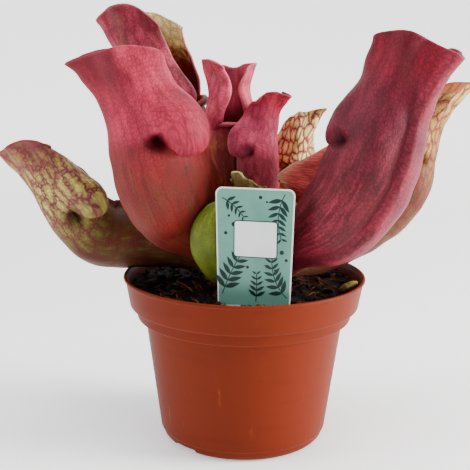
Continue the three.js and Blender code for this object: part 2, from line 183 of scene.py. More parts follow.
def piece(name, points, faces, fields=None, materials=(), slots=None):
    """A smooth mesh from points in millimetres, with values stored on its points."""
    mesh = bpy.data.meshes.new(name)
    mesh.from_pydata((np.asarray(points, float) * MM).tolist(), [], faces)
    for key, values in (fields or {}).items():
        values = np.asarray(values, float)
        wide = values.ndim == 2
        stored = mesh.attributes.new(key, "FLOAT_VECTOR" if wide else "FLOAT", "POINT")
        stored.data.foreach_set("vector" if wide else "value", values.ravel())
    for material in materials:
        mesh.materials.append(material)
    if slots is not None:
        mesh.polygons.foreach_set("material_index", slots)
    mesh.polygons.foreach_set("use_smooth", [True] * len(mesh.polygons))
    mesh.update()
    return placed(name, mesh)


def dress(made, node):
    """Hangs a piece under the root, hides the CAD node that it stands in for, and prints its triangle count."""
    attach(made, "root")
    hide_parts(node)
    depsgraph = bpy.context.evaluated_depsgraph_get()
    shown = made.evaluated_get(depsgraph).to_mesh()
    shown.calc_loop_triangles()
    print(f"{made.name}: {len(shown.loop_triangles)} triangles")


def squares(ids):
    """The faces between neighbours in a grid of point numbers."""
    return np.stack([ids[:-1, :-1], ids[:-1, 1:], ids[1:, 1:], ids[1:, :-1]], 2).reshape(-1, 4).tolist()


def grid_faces(rows, cols, start=0, closed=False):
    """The faces of a grid of points stored row after row."""
    ids = np.arange(start, start + rows * cols).reshape(rows, cols)
    return squares(np.hstack([ids, ids[:, :1]]) if closed else ids)


def capped_faces(rows, cols):
    """The faces of a stack of rings, whose first and last middles are the two points after them."""
    middle, last = rows * cols, (rows - 1) * cols
    faces = grid_faces(rows, cols, closed=True) + [((i + 1) % cols, i, middle) for i in range(cols)]
    return faces + [(last + i, last + (i + 1) % cols, middle + 1) for i in range(cols)]


# %% [markdown]
# The pot is one turned profile with softened corners: a foot, a tapering wall, two steps and a rim. It could be
# taken from the CAD part, but that has forty flat sides, so a finer turning of the same profile stands in for it.
# Two drain notches are raised into its foot where the profile crosses them.

# %% Pot
POT_OUTLINE = [
    (0, 0), (32.9, 0), (33, 0), (36.6, 0), (38.6, 0.8), (40.2, 2.6), (40.9, 5), (41.6, 5.7), (49, 60.4), (49.6, 61.6),
    (52.4, 61.8), (53.1, 62.6), (53.5, 66.8), (54.3, 68), (56.1, 68), (56.8, 68.8), (59, 81.2), (59.7, 81.5),
    (60, 82.2), (59.6, 83), (58.6, 83), (58.2, 82.4), (57.2, 81), (54.9, 69.8), (52.4, 69), (51.9, 67.6),
    (51.5, 63.6), (48, 62.8), (47.5, 60.8), (40, 6.2), (38.8, 3.2), (36.6, 3), (0, 3),
]
POT_COLUMNS, CORNER, SHORT_EDGE = 240, 0.5, 0.2
NOTCH_ANGLES, NOTCH_HALF, NOTCH_SLOPE, NOTCH_HEIGHT, NOTCH_FROM = (-137, 43), 12, 0.15, 2.95, 32.95


def softened(outline):
    """The outline with short curves for its corners."""
    points = [outline[0]]
    for before, here, after in zip(outline, outline[1:], outline[2:]):
        a, b, c = (np.array(p, float) for p in (before, here, after))
        back, on = np.linalg.norm(a - b), np.linalg.norm(c - b)
        if min(back, on) < SHORT_EDGE:
            points.append(here)
            continue
        start, end = (b + (q - b) / n * min(CORNER, 0.4 * n) for q, n in ((a, back), (c, on)))
        points += [tuple((1 - s) ** 2 * start + 2 * s * (1 - s) * b + s ** 2 * end) for s in (0, 0.35, 0.65, 1)]
    return points + [outline[-1]]


def turned(outline, angles):
    """The rings of a turned outline, without its two ends, which lie on the axis."""
    ring, a = np.array(outline[1:-1]), np.radians(angles)
    return np.stack([ring[:, :1] * np.cos(a), ring[:, :1] * np.sin(a), np.repeat(ring[:, 1:], len(a), 1)], 2)


angles = list(np.linspace(-180, 180, POT_COLUMNS + 1)[:-1])
for notch in NOTCH_ANGLES:
    angles += [notch + side * (NOTCH_HALF + off) for side in (-1, 1) for off in (-NOTCH_SLOPE, NOTCH_SLOPE)]
angles = np.array(sorted(angles))
points = turned(softened(POT_OUTLINE), angles)
outer = np.arange(len(points))[:, None] < len(points) / 2  # the outline goes up outside first
for notch in NOTCH_ANGLES:
    inside = outer & (np.abs(angles - notch) < NOTCH_HALF) & (np.hypot(points[..., 0], points[..., 1]) > NOTCH_FROM)
    points[inside, 2] = np.maximum(points[inside, 2], NOTCH_HEIGHT)
faces = capped_faces(len(points), len(angles))
middles = [(0, 0, POT_OUTLINE[0][1]), (0, 0, POT_OUTLINE[-1][1])]
print("pot rings and columns:", points.shape[:2])

# %% [markdown]
# The real pot is thin matt plastic with fine pale scuffs up its wall and a few darker specks. Noise that is stretched
# along one axis gives scuffs and streaks at any size, where a wrapped picture would blur close up.

# %% Pot finish
f = Finish("terracotta plastic", Specular_IOR_Level=0.08)
where = f.place()
broad = f.cloud(where * (1, 1, 0.55), 26, 4)
specks = f.cells(where, 420)
scuffs = f.cloud(where * (1, 1, 0.16), 240, 3, 0.65)
streak = f.cloud(where * (1, 1, 6), 30, 3)
ground = f.mix("7c361a", "893f1f", broad)
ground = f.mix(ground, "6a2a16", f.step(streak, 0.5, 0.8) * 0.25)
ground = f.mix(ground, "b46438", f.step(scuffs, 0.64, 0.8) * 0.45)
ground = f.mix(ground, "8c3c22", (1 - f.step(specks, 0.03, 0.12)) * 0.35)
relief = scuffs * 0.5 + f.cloud(where, 900, 2) * 0.5
pot_skin = f.wear(Base_Color=ground, Roughness=0.4 + broad * 0.12 + scuffs * 0.1, Normal=f.bump(relief, 0.00008, 0.6))
made = piece("pot_body", np.vstack([points.reshape(-1, 3), middles]), faces, None, [pot_skin])
dress(made, "pot")

# %% [markdown]
# Peat is lumps, crumbs and fibres. Its top is a fine grid raised by noise at three sizes, crumbs are rough little
# balls strewn over it, and fibres are thin bent strands. Joined in one mesh they still count as the one soil piece.

# %% Soil
SOIL_TOP, SOIL_R, HEAP = 78.2, 55.2, 1.6
SOIL_ROWS, SOIL_COLS = 84, 220
SIDE = [(0, 3.3), (36.3, 3.3), (38.4, 3.6), (39.6, 6.5), (47.1, 61), (47.7, 63), (51.2, 63.8), (51.6, 67.8),
        (52.2, 69.3), (54.5, 70.1), (SOIL_R, 74)]


def polar(r, a):
    return r * cos(a), r * sin(a)


def soil_height(x, y):
    """A low heap with lumps of three sizes, which die out towards the wall."""
    p = Vector((x, y, 3))
    r = hypot(x, y)
    heap = HEAP * (1 - (r / SOIL_R) ** 2)
    rough = 1.7 * noise.noise(p / 11) + 1.1 * noise.noise(p / 4.3) + 0.7 * noise.noise(p / 1.7)
    return SOIL_TOP + heap + rough * min(1, (SOIL_R - r) / 3 + 0.35)


spin = np.linspace(0, 2 * pi, SOIL_COLS + 1)[:-1]
points = [(*polar(r, a), z) for r, z in SIDE[1:] for a in spin]
for k in range(SOIL_ROWS):
    ring = [polar(SOIL_R * (1 - k / SOIL_ROWS), a) for a in spin]
    points += [(x, y, soil_height(x, y)) for x, y in ring]
points += [(0, 0, SIDE[0][1]), (0, 0, soil_height(0, 0))]
faces = capped_faces(len(SIDE) - 1 + SOIL_ROWS, SOIL_COLS)
slots = [0] * len(faces)
print("heap:", len(faces), "faces")

# %% [markdown]
# Loose peat is rougher than a raised grid, so lumpy little balls lie half sunk in it and thin bent strands lie across
# it. Particles could strew them, but a loop with a fixed seed does it alike every time and stays one mesh.

# %% Crumbs and fibres
CRUMBS, CRUMB_SPREAD, PALE_CRUMBS = 620, 0.97, 0.05
FIBRES, FIBRE_SPREAD, FIBRE_STEPS = 120, 0.9, 8
rng = random.Random(11)


def strewn(spread):
    """A random place on the heap, spread evenly."""
    return polar(SOIL_R * sqrt(rng.random()) * spread, rng.uniform(0, 2 * pi))


ball = bmesh.new()
bmesh.ops.create_icosphere(ball, subdivisions=2, radius=1)
ball_points = [v.co.copy() for v in ball.verts]
ball_faces = [[v.index for v in face.verts] for face in ball.faces]
ball.free()
for n in range(CRUMBS):
    x, y = strewn(CRUMB_SPREAD)
    size = 0.5 + 1.5 * rng.random() ** 3
    stretch = Vector((rng.uniform(0.7, 1.3), rng.uniform(0.7, 1.3), rng.uniform(0.5, 0.9)))
    start = len(points)
    for p in ball_points:
        lumpy = size * (1 + 0.45 * noise.noise(p * 1.3 + Vector((n, 0, 0))))
        points.append((x + p.x * lumpy * stretch.x, y + p.y * lumpy * stretch.y,
                       soil_height(x, y) + size * 0.25 + p.z * lumpy * stretch.z))
    faces += [tuple(start + i for i in face) for face in ball_faces]
    slots += [1 if rng.random() < PALE_CRUMBS else 0] * len(ball_faces)


def strand(path, radius, slot, sides=5, flat=1):
    """A thin tube along a path, slimmer at its ends; flat squeezes it to a strip."""
    start = len(points)
    for k, p in enumerate(path):
        ahead = (path[min(k + 1, len(path) - 1)] - path[max(k - 1, 0)]).normalized()
        across = ahead.cross(Vector((0.1, 0.2, 1))).normalized()
        other = ahead.cross(across)
        thin = radius * (1 - 0.6 * abs(2 * k / (len(path) - 1) - 1) ** 3)
        for n in range(sides):
            a = 2 * pi * n / sides
            points.append(tuple(p + (across * cos(a) + other * (sin(a) * flat)) * thin))
    made = grid_faces(len(path), sides, start, closed=True)
    made += [tuple(range(start, start + sides))[::-1], tuple(range(len(points) - sides, len(points)))]
    faces.extend(made)
    slots.extend([slot] * len(made))


for n in range(FIBRES):
    x, y = strewn(FIBRE_SPREAD)
    heading, length, bend = rng.uniform(0, 2 * pi), rng.uniform(4, 12), rng.uniform(-0.12, 0.12)
    path = []
    for k in range(FIBRE_STEPS + 1):
        path.append(Vector((x, y, soil_height(x, y) + 0.5 + 0.8 * sin(pi * k / FIBRE_STEPS))))
        dx, dy = polar(length / FIBRE_STEPS, heading)
        x, y, heading = x + dx, y + dy, heading + bend * length / 4
    if all(hypot(p.x, p.y) < SOIL_R - 1 for p in path):
        strand(path, rng.uniform(0.12, 0.3), 1 if n % 3 else 0)
print(CRUMBS, "crumbs and up to", FIBRES, "fibres")

# %% [markdown]
# Round the stalks stand dry bracts, the papery scales that new leaves push through, and at the right lies an old
# stalk, cut short. Both are strands too, which saves a second builder: a bract is one squeezed flat.

# %% Bracts and a cut stalk
BRACTS = ((-23, -26, 2.9, 13, 2.6), (-20, -22, 2.2, 10, 2.2), (-26, -18, 3.3, 11, 2.4), (15, -14, -0.5, 12, 2.4),
          (20, 0, 0.4, 10, 2.2), (-12, 16, 1.9, 11, 2.3), (6, 20, 1.2, 10, 2))  # x, y, heading, length, half width
BRACT_SIDES, BRACT_FLAT = 10, 0.14
for x, y, heading, length, wide in BRACTS:
    path = []
    for s in np.linspace(0, 1, 9):
        dx, dy = polar(length * 0.75 * s, heading)
        path.append(Vector((x + dx, y + dy, soil_height(x, y) + length * (0.8 * s - 0.35 * s * s) - 1)))
    strand(path, wide, 2, BRACT_SIDES, BRACT_FLAT)
STUB, STUB_WAY, STUB_RADIUS = (46, -14), (9, 2, 3.5), 1.9
stub_foot = Vector((*STUB, soil_height(*STUB) + 0.8))
strand([stub_foot + Vector(STUB_WAY) * s for s in np.linspace(0, 1, 7)], STUB_RADIUS, 3, sides=12)
print(len(BRACTS), "bracts and 1 cut stalk")

# %% [markdown]
# Wet peat is nearly black between its lumps, its fibres are a paler brown, and dry bracts and the cut stalk are the
# colour of straw. Only colour and roughness differ, so one recipe makes all four, each in a material slot.

# %% Soil finish
def soil_finish(name, dark, light, rough):
    f = Finish(name, Specular_IOR_Level=0.1)
    where = f.place()
    lumps, crumbs = f.cloud(where, 180, 4, 0.6), f.cells(where, 520)
    ground = f.mix(dark, light, f.step(lumps, 0.46, 0.7))
    ground = f.mix(ground, "15100c", f.step(crumbs, 0.35, 0.75) * 0.5)
    return f.wear(Base_Color=ground, Roughness=rough - lumps * 0.25,
                  Normal=f.bump(lumps + crumbs * 0.5, 0.0006, 0.9))


finishes = [soil_finish("peat", "180d08", "5c3c26", 0.98), soil_finish("peat fibre", "744a2a", "946844", 0.9),
            soil_finish("dry bract", "6c4426", "a07c50", 0.8), soil_finish("cut stalk", "a8965c", "d0c28c", 0.8)]
made = piece("soil_heap", points, faces, None, finishes, slots)
dress(made, "soil")

# %% [markdown]
# The label is a thin printed card with rounded top corners and a white border, stuck in the soil at a slight turn.
# Its outline and the sprigs of its print are drawn first. A place on the card could be a pair of numbers, but as one
# complex number, x + z j, a turn is a single product.

# %% Label card
LABEL = dict(thick=0.8, corner=3, yaw=10.3, x=4.4, y=-44, top=133.2, top_width=36, shoulder=74, shoulder_width=33,
             tip=58, tip_width=7)
CARD, TEAL, INK, PALE = range(4)  # the label's material slots
STEM_HALF, LEAF_TURN, LEAF_HALF, LEAF_SHRINK = 0.22, 0.95, 0.16, 0.6


def card_outline(inset=0, low=None):
    """The outline, anticlockwise seen from the face; low cuts it off above the stake."""
    wide, waist, point = (LABEL[k] / 2 - inset for k in ("top_width", "shoulder_width", "tip_width"))
    r, top = LABEL["corner"] - inset * 0.5, LABEL["top"] - inset
    foot = [complex(point, LABEL["tip"]), complex(waist, LABEL["shoulder"])]
    if low is not None:
        s = (low - LABEL["shoulder"]) / (LABEL["top"] - LABEL["shoulder"])
        foot = [complex(waist + (wide - waist) * s, low)]
    right = foot + [complex(wide - r, top - r) + rect(r, a) for a in np.linspace(0, pi / 2, 9)]
    return right + [-p.conjugate() for p in right[::-1]]


def leaflet(stem, heading, length):
    """A pointed leaf shape from its stem end."""
    side = [complex(s, LEAF_HALF * sin(pi * s ** 0.8)) for s in np.linspace(0, 1, 9)]
    ring = side + [p.conjugate() for p in side[-2:0:-1]]
    return [stem + rect(length, heading) * p for p in ring[::-1]]


def sprig(x, z, heading, length, leaves, size, curl):
    """The shapes of a curved stem with pairs of leaflets."""
    shapes, start = [], complex(x, z)
    for k in range(leaves):
        end, side = start + rect(length / leaves, heading), rect(STEM_HALF, heading + pi / 2)
        shapes.append([start - side, end - side, end + side, start + side])
        fit = size * (1 - LEAF_SHRINK * k / leaves)
        shapes += [leaflet(end, heading + turn, fit) for turn in (-LEAF_TURN, LEAF_TURN)]
        start, heading = end, heading + curl
    return shapes


# %% [markdown]
# The print is sprigs and a few dots in dark teal ink, and a bare pale panel with a thin frame. A picture could carry
# it, but flat shapes stay sharp: each is a face a hair in front of the card, which is its outline twice with a band.

# %% Card and print
FIELD_LIFT, INK_LIFT, INK_STEP, FIELD_FOOT, BORDER = 0.03, 0.05, 0.0006, 79, 0.6
SPRIGS = ((-14.5, 84, 1.25, 30, 9, 7.5, -0.04), (13.5, 131, -2, 21, 7, 6.5, 0.12),
          (15, 83.5, 2.3, 21, 7, 6.5, -0.13), (-15, 128.5, -0.5, 13, 5, 4.6, -0.1), (1, 81, 1.5, 13, 5, 5, 0.03))
DOTS = ((-9.5, 116.5, 1.1), (-13.2, 112.4, 0.8), (-11.8, 120.4, 0.6), (12.5, 104.5, 1), (14.6, 101, 0.7),
        (2.5, 129.2, 0.8), (5.4, 127.2, 0.5), (-3, 97, 0.7), (6, 97.8, 0.8), (9.6, 96.2, 0.5))  # x, z, radius
PANEL, PANEL_SIZES = 0.5 + 110j, (10, 8.5, 1.6)  # half its width and height, and its corner
PANEL_LAYERS = ((0, 0.14, INK), (0.45, 0.18, PALE))  # inset, lift, slot

half = LABEL["thick"] / 2
rim = card_outline()
count = len(rim)
points = [(p.real, y, p.imag) for y in (-half, half) for p in rim]
faces = [tuple(range(count)), tuple(range(2 * count - 1, count - 1, -1))]
faces += [((i + 1) % count, i, i + count, (i + 1) % count + count) for i in range(count)]
slots = [CARD] * len(faces)


def ink(outline, lift, slot):
    """A flat shape, lift millimetres in front of the card's face."""
    faces.append(tuple(range(len(points), len(points) + len(outline))))
    points.extend((p.real, -half - lift, p.imag) for p in outline)
    slots.append(slot)


ink(card_outline(BORDER, low=FIELD_FOOT), FIELD_LIFT, TEAL)
shapes = [shape for row in SPRIGS for shape in sprig(*row)]
shapes += [[complex(x, z) + rect(r, a) for a in np.linspace(0, 2 * pi, 17)[:-1]] for x, z, r in DOTS]
for n, shape in enumerate(shapes):
    ink(shape, INK_LIFT + INK_STEP * n, INK)
for inset, lift, slot in PANEL_LAYERS:
    wide, tall, r = (size - inset for size in PANEL_SIZES)
    ink([PANEL + complex(sx * (wide - r), sz * (tall - r)) + rect(r, a)
         for sx, sz, quarter in ((1, 1, 0), (-1, 1, 1), (-1, -1, 2), (1, -1, 3))
         for a in np.linspace(quarter, quarter + 1, 5) * pi / 2], lift, slot)
turn, foot = rect(1, radians(-LABEL["yaw"])), complex(LABEL["x"], LABEL["y"])
points = [(foot + complex(x, y) * turn, z) for x, y, z in points]
points = [(p.real, p.imag, z) for p, z in points]
print(len(shapes), "ink shapes")

# %% [markdown]
# Real print lies under a thin clear coat. Each ink is one recipe in two close tones, so that none is dead flat, and
# a very fine grain breaks up its shine.

# %% Label finish
def card_finish(name, code, shade):
    f = Finish(name, Specular_IOR_Level=0.2, Coat_Weight=0.1, Coat_Roughness=0.2)
    where = f.place()
    grain = f.cloud(where, 900, 3)
    patchy = f.cloud(where, 60, 3)
    ground = f.mix(code, shade, f.step(patchy, 0.3, 0.7))
    return f.wear(Base_Color=ground, Roughness=0.32 + grain * 0.16, Normal=f.bump(grain, 0.00003, 0.5))


made = piece("printed_label", points, faces, None,
             [card_finish("card", "eef0ec", "e4e8e4"), card_finish("card teal", "86b2a6", "76a498"),
              card_finish("ink teal", "16403e", "1e4a46"), card_finish("card panel", "eef1ee", "e6ebe8")], slots)
made.data.polygons.foreach_set("use_smooth", [False] * len(made.data.polygons))
dress(made, "plant_label")

# %% [markdown]
# A pitcher leaf is a tube that widens from a thin stalk into a belly, with a mouth at its top. The back of the
# mouth goes on up as a flaring hood, and each of the hood's sides folds down over the mouth's corner as a lobe.
# It could be sculpted, but numbers can be checked: each leaf is eight rings of a spine, with the mouth at the sixth,
# and the numbers that shape its hood, lobes and wing. The CAD leaves are made from nearly the same rings.

# %% Leaf measures
# stalk: its x, y and radius, for the first two rings. rings: the other six, each with its centre, half its width and
# half its depth. back: the way the hood's back faces. corner: how many degrees round from the back the mouth's
# corners are. wrap: the same for the lobes, the hood's waist and its top. cheek: how far a lobe stands out, hangs,
# settles and curls in. flare and top: how far the margin leans out and rises, from the middle to the sides. round,
# turnover, slant, lean: its side corners, turned edge, turn and slope. keel and pit: the ridge up the back and the
# hollow beside a corner. wing, wing_from, sweep: how far the front's wing stands out, where it starts, how it bends.
MOUTH, TIP, START = 5, 7, 0.5  # rings, counted from 0; a grid of points begins at START
STALK_FOOT, STALK_TOP = 62, 80
USUAL = dict(small=False, closed=False, keel=0, pit=3.5, slant=0, lean=0, sweep=(0, 0, 0), turnover=1.5, lip=1.5,
             power=2.6, wing_from=0.12)
LEAVES = {
    "pitcher_front_left": dict(
        stalk=(-9, -9, 3.5), back=(-0.85, -0.3, -0.45), corner=92, wrap=(152, 148, 134), cheek=(9, 11, 8, 5),
        flare=(10, 7, 5, 5, 4), top=(6, 6, 6, 3, -2), round=3, pit=9, wing=5, rings=[
            (-18.3, -11, 99.1, 9, 9.5), (-30.7, -13.5, 114.8, 15.5, 19), (-37.4, -25, 132.5, 20, 22),
            (-41.6, -29, 155.2, 18, 21), (-46.7, -30, 170.6, 16, 17), (-54, -31, 191.8, 16, 16)]),
    "pitcher_far_left": dict(
        stalk=(-15, 0, 3.5), back=(-0.75, -0.25, -0.6), corner=92, wrap=(160, 150, 112), cheek=(8, 8, 7, 4),
        flare=(7, 5, 5, 5, 3), top=(7, 8, 8, 6, 2), round=4, pit=6, wing=5, rings=[
            (-22.4, 5, 90.3, 6.5, 7), (-47.9, 10, 97.1, 13, 13), (-71.9, 8, 99.9, 15, 15), (-85.1, 2, 115.1, 12, 14),
            (-93.3, 0, 130.3, 10.5, 11.5), (-101.6, 0, 145.5, 10.5, 11)]),
    "pitcher_front_right": dict(
        stalk=(10, -9, 3.5), back=(0.55, -0.75, -0.4), corner=120, wrap=(158, 142, 122), cheek=(6, 6, 4, 3),
        flare=(10, 4, 3, 3, 3), top=(6, 8, 9, 7, 3), round=2, keel=3.2, wing=22, wing_from=0.35,
        sweep=(-1.2, -0.6, -0.3), rings=[
            (24.4, -18, 101.7, 11, 12), (41.2, -28, 115.1, 19, 19), (52.3, -32, 131, 21, 21),
            (59.2, -33, 149.5, 20, 21), (65.6, -32, 170.6, 16, 17), (73.1, -32, 193.2, 16, 16)]),
    "pitcher_back_right": dict(
        stalk=(15, 5, 3.2), back=(1, 0.1, -0.1), small=True, corner=95, wrap=(150, 115, 115), cheek=(4, 5, 4, 3),
        flare=(9, 4, 4, 3, 3), top=(12, 10, 6, 2, -2), power=3, round=3, lip=1.1, wing=4, rings=[
            (37.7, 18, 88, 8, 9), (64.2, 22, 106.5, 13, 14), (78.9, 22, 123.3, 14, 14), (84.2, 22, 140.3, 12, 12),
            (87.9, 22, 158.1, 11, 11), (93.2, 22, 173.1, 11, 11)]),
    "pitcher_back_left": dict(
        stalk=(-10, 10, 3.2), back=(-0.94, 0.06, -0.2), corner=100, wrap=(150, 134, 128), cheek=(4, 5, 4, 3),
        flare=(3, 4, 4, 3, 2), top=(6, 8, 9.5, 8, 0), round=6, slant=-0.1, lean=4.7, wing=4, rings=[
            (-22.6, 31, 95.6, 6.2, 6.2), (-30.2, 36, 118.6, 10.5, 10.5), (-33.8, 34, 142.6, 13, 14),
            (-38.1, 30, 162, 15, 16), (-44.9, 28, 185.2, 14, 17), (-51.6, 26, 205.9, 14, 18)]),
    "pitcher_back_centre": dict(
        stalk=(-1, 12, 3), back=(-0.35, 0.94, 0), small=True, corner=105, wrap=(152, 170, 150), cheek=(4, 4, 3, 2),
        flare=(0, 1, 3, 4, 3), top=(6, 5, 6, 5, 0), power=2.5, round=0, turnover=0.5, lip=1.1, wing=2, rings=[
            (-5.6, 15, 99.2, 6, 6), (-8.3, 15, 122.4, 10, 10.5), (-10, 16, 138.5, 11, 11.5),
            (-10.1, 17, 155.5, 10.5, 11), (-9.3, 18, 169.3, 9, 10), (-9.4, 21, 181, 9, 10)]),
    "pitcher_centre": dict(
        stalk=(3, 1, 3), back=(0.85, -0.5, -0.1), small=True, corner=98, wrap=(160, 150, 105), cheek=(6, 4, 3, 2),
        flare=(5, 2, 1, 1, 1), top=(4, 5, 4, 1, -4), power=3, round=3, lip=1.1, wing=3, rings=[
            (2.2, 0, 92.3, 5, 5), (4.4, -2, 110.5, 8, 8), (6.1, -3, 128, 9.5, 10), (5.8, -2, 144, 9, 9.5),
            (6.6, 0, 159.3, 8, 8), (8.3, 0, 170.8, 8, 8)]),
    "pitcher_right_centre": dict(
        stalk=(8, 13, 3), back=(0.7, -0.65, -0.1), small=True, corner=95, wrap=(160, 150, 110), cheek=(3, 4, 3, 2),
        flare=(6, 1, 0, 0, 0), top=(6, 3, 2, 0, -3), power=3, round=4, pit=5, lip=1.1, wing=4, rings=[
            (9.9, 18, 90.9, 6, 6), (15.8, 19, 109.1, 9, 9), (21.1, 18, 123.3, 10.5, 11), (24.7, 15, 137, 9, 9.5),
            (25.2, 12, 150.9, 8, 8), (27.4, 12, 162.3, 7, 7.5)]),
    "young_pitcher": dict(
        stalk=(-6, -20, 2.6), back=(-0.6, -0.6, -0.1), closed=True, rings=[
            (-12.9, -29, 90.8, 5, 5), (-17.4, -33, 102.2, 7.5, 7), (-17, -34, 112.3, 7.5, 7),
            (-14.3, -34, 119.8, 5, 5), (-11.1, -33, 123.4, 2.5, 2.5), (-9.3, -33, 125.3, 0.5, 0.5)]),
    "small_pitcher_front": dict(
        stalk=(2, -13, 2.8), back=(-0.6, -0.6, 0), small=True, corner=100, wrap=(150, 115, 115), cheek=(2, 3, 2, 1),
        flare=(2, 1, 1, 1), top=(7, 4, 0, -2), round=0, lip=1, wing=2, rings=[
            (-1.7, -20, 95.5, 5, 5), (0, -26, 109.4, 8, 8), (0.9, -28, 117.9, 8, 8), (1.7, -28, 125, 7, 7),
            (2.1, -28, 129.7, 7, 7), (2, -28, 133.4, 7, 7)]),
}
for name, leaf in LEAVES.items():
    x, y, r = leaf["stalk"]
    spine = [(x, y, STALK_FOOT, r, r), (x, y, STALK_TOP, r, r), *leaf["rings"]]
    LEAVES[name] = {**USUAL, **leaf, "spine": spine}
print(len(LEAVES), "leaves")

# %% [markdown]
# A smooth curve runs through the rings, so a leaf can be cut anywhere along it. A curve object would do that too,
# but here each ring also needs its own directions: up the leaf, out to the keel at its back, and across. With those,
# a point is placed by its ring and its angle.

# %% The spine's rings
def spline(rows, t):
    """A smooth curve through rows of numbers, at t in rows."""
    rows, t = np.asarray(rows, float), np.asarray(t, float)
    i = np.clip(np.floor(t).astype(int), 0, len(rows) - 2)
    f = (t - i)[..., None]
    ends = np.vstack([2 * rows[:1] - rows[1:2], rows, 2 * rows[-1:] - rows[-2:-1]])
    p, q, r, s = (ends[i + k] for k in range(4))
    return 0.5 * (2 * q + (r - p) * f + (2 * p - 5 * q + 4 * r - s) * f ** 2 + (3 * q - p - 3 * r + s) * f ** 3)


def table(values, x):
    """A smooth curve through the values, x from 0 to 1, level where it starts."""
    return spline([[v] for v in (values[1], *values)], 1 + x * (len(values) - 1))[..., 0]


def ease(x, start, length):
    """0 before start, 1 from start + length, smooth between."""
    return smooth((x - start) / length)


def rings(leaf, t):
    """Each ring's centre, its directions up, to the keel and to the side, its half depth and half width."""
    def at(x):
        return spline(leaf["spine"], np.clip(x, 0, TIP))
    row = at(t)
    up = unit(at(t + 1e-3)[:, :3] - at(t - 1e-3)[:, :3])
    up[t <= 1] = (0, 0, 1)
    back = np.array(leaf["back"], float)
    keel = unit(back - (up @ back)[:, None] * up)
    return row[:, :3], up, keel, np.cross(up, keel), row[:, 4], row[:, 3]


def outward(ring, angle, deep=1, wide=1):
    """The direction out of a leaf at each angle round its rings, stretched by deep and wide."""
    return ring[2][:, None] * (deep * np.cos(angle))[..., None] + ring[3][:, None] * (wide * np.sin(angle))[..., None]


def ring_points(ring, angle):
    """The points at each angle round its ring, which is an oval."""
    return ring[0][:, None] + outward(ring, angle, ring[4][:, None], ring[5][:, None])


# %% [markdown]
# The wavy surface of a living leaf is slow, low noise along its normals: it dies out at the thin stalk, where the
# real leaf is stiff, and is strongest in the hood, where the tissue grows in folds between its veins.

# %% Waves in a leaf
def grid_normals(points):
    """The direction out of a grid's surface at each of its points."""
    return unit(np.cross(np.gradient(points, axis=1), np.gradient(points, axis=0)))


def waves(points, size, seed):
    """Smooth noise at each point, in waves about size millimetres long."""
    flat = points.reshape(-1, 3) / size
    drift = Vector((seed * 7.3, 0, seed * 1.9))
    return np.array([noise.noise(Vector(p) + drift) for p in flat]).reshape(points.shape[:-1])


# %% [markdown]
# The tube. On the real leaf a thin wing runs up the front, where the leaf's two edges grew together: it catches
# the light as a crest. A flap of its own would show a seam, so the few columns at the very front are pushed out.

# %% Tube
WING_TOP, WING_HALF = 0.97, 0.2  # where it ends on the tube, and half its width in radians


def density(leaf):
    """Columns of the hood and of half the front, rows of the tube and of the hood."""
    return (44, 18, 60, 52) if leaf["small"] else (72, 28, 90, 84)


def tube_grid(leaf):
    """Place along the spine, angles, rings, points and how much each column is wing."""
    corner = radians(leaf["corner"])
    hood_cols, front_cols, rows, _ = density(leaf)
    front = corner + (pi - corner) * (1 - (1 - np.linspace(0, 1, front_cols + 1)[1:]) ** 1.6)
    turn = np.concatenate([-front[::-1], np.linspace(-1, 1, hood_cols + 1) * corner, front])
    t = np.linspace(START, MOUTH, rows)
    ring = rings(leaf, t)
    tube = ring_points(ring, np.broadcast_to(turn, (rows, len(turn))))
    depth, start = leaf["wing"], leaf["wing_from"]
    way = unit(np.array(leaf["sweep"], float) - ring[2])
    x = np.clip(((t - 1) / (MOUTH - 1) - start) / (WING_TOP - start), 0, 1)
    ridge = np.clip(1 - (pi - np.abs(turn)) / WING_HALF, 0, 1) ** 1.4
    stands = depth * np.clip(np.sin(pi * x ** 0.8), 0, 1) ** 0.65
    tube += way[:, None] * (stands[:, None] * ridge)[..., None]
    return t, turn, ring, tube, ridge


# %% [markdown]
# The hood. Its rows go round the back of the leaf only: each row reaches further round than the mouth's corners, so
# its ends fold over them. Low down the ends hang in a half circle, which is the round lobe of the real leaf, and
# higher up they draw back to a waist. The margin is rolled in, and ripples more and more towards the top.

# %% Hood
LOBE_END = 0.2  # how far up the hood its side lobes end, as a share of its height
TO_WAIST, TO_TOP, TO_SLANT = (0.22, 0.35), (0.55, 0.45), (0.1, 0.4)
LOBE_START, LOBE_FADE, BROW = 0.04, (0.28, 0.35), (-0.5, 1)
HANG_LEAD, SETTLE_FADE = 0.15, 0.4
ROLL_FROM, ROLL_START, ROLL_LEAST, CURL_FADE = 0.84, 0.06, 0.6, (0.2, 0.35)
RIPPLE, RIPPLES = 1.1, 2.5
TURN_FROM, ROUND_FROM = 0.86, 0.45


def beyond(x, start):
    """0 up to start, then a curve to 1."""
    return np.clip((x - start) / (1 - start), 0, 1) ** 2


def hood_out(leaf, w, h, past, seed):
    """How far the hood leans out: flare, lobes, ripples and the rolled margin."""
    out_by, _, _, curl = leaf["cheek"]
    aw = np.abs(w)
    lobe = ease(past, *BROW) * (1 - np.exp(-h / LOBE_START)) * (1 - ease(h, *LOBE_FADE))
    rolled = beyond(aw, ROLL_FROM) * smooth(h / ROLL_START)
    return (table(leaf["flare"], aw) * h ** leaf["power"] + out_by * lobe
            + RIPPLE * np.sin(2 * pi * RIPPLES * w + seed) * h ** 3
            - rolled * (curl * (1 - ease(h, *CURL_FADE)) + ROLL_LEAST))


